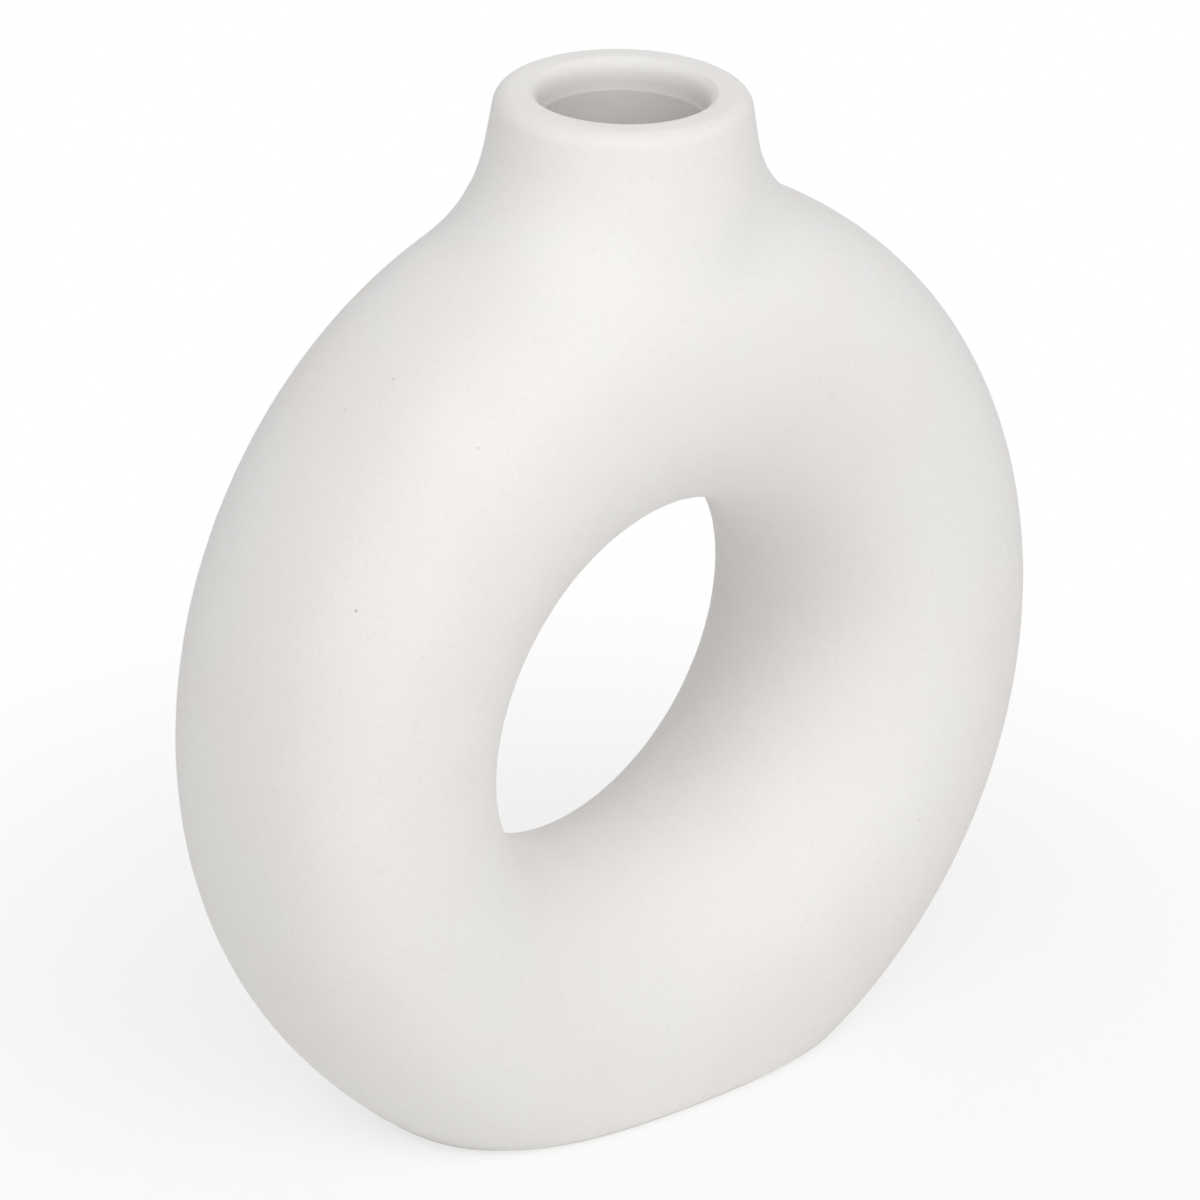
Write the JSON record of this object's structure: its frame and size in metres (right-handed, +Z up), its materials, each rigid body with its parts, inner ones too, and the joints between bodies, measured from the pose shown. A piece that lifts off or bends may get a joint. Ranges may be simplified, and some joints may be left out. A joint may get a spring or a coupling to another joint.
{
  "type": "donut vase",
  "caption": "Hollow ceramic ring vase standing on edge, with a through-hole, a flat foot and a short round neck that takes flower stems.",
  "frame": {"origin": "on the table, under the middle of the vase", "axes": "+Z up, X across the ring, Y along the axis of its hole with the front at -Y"},
  "size_m": [0.182, 0.067, 0.2],
  "materials": {
    "clay": "fired stoneware, fine grain",
    "bare_clay": "unglazed fired stoneware, wiped smooth",
    "slip": "fired luting slip",
    "matte_glaze": "matte off-white glaze with fine pinholes",
    "satin_glaze": "satin off-white glaze"
  },
  "bodies": {
    "root": {"front_half_ring": "clay", "back_half_ring": "clay", "foot_slab": "bare_clay", "neck_collar": "clay", "left_rim_seam": "slip", "right_rim_seam": "slip", "hole_seam": "slip", "foot_seam": "slip", "neck_seam": "slip", "outer_glaze": "matte_glaze", "mouth_glaze": "satin_glaze", "cavity_glaze": "satin_glaze"}
  },
  "joints": []
}
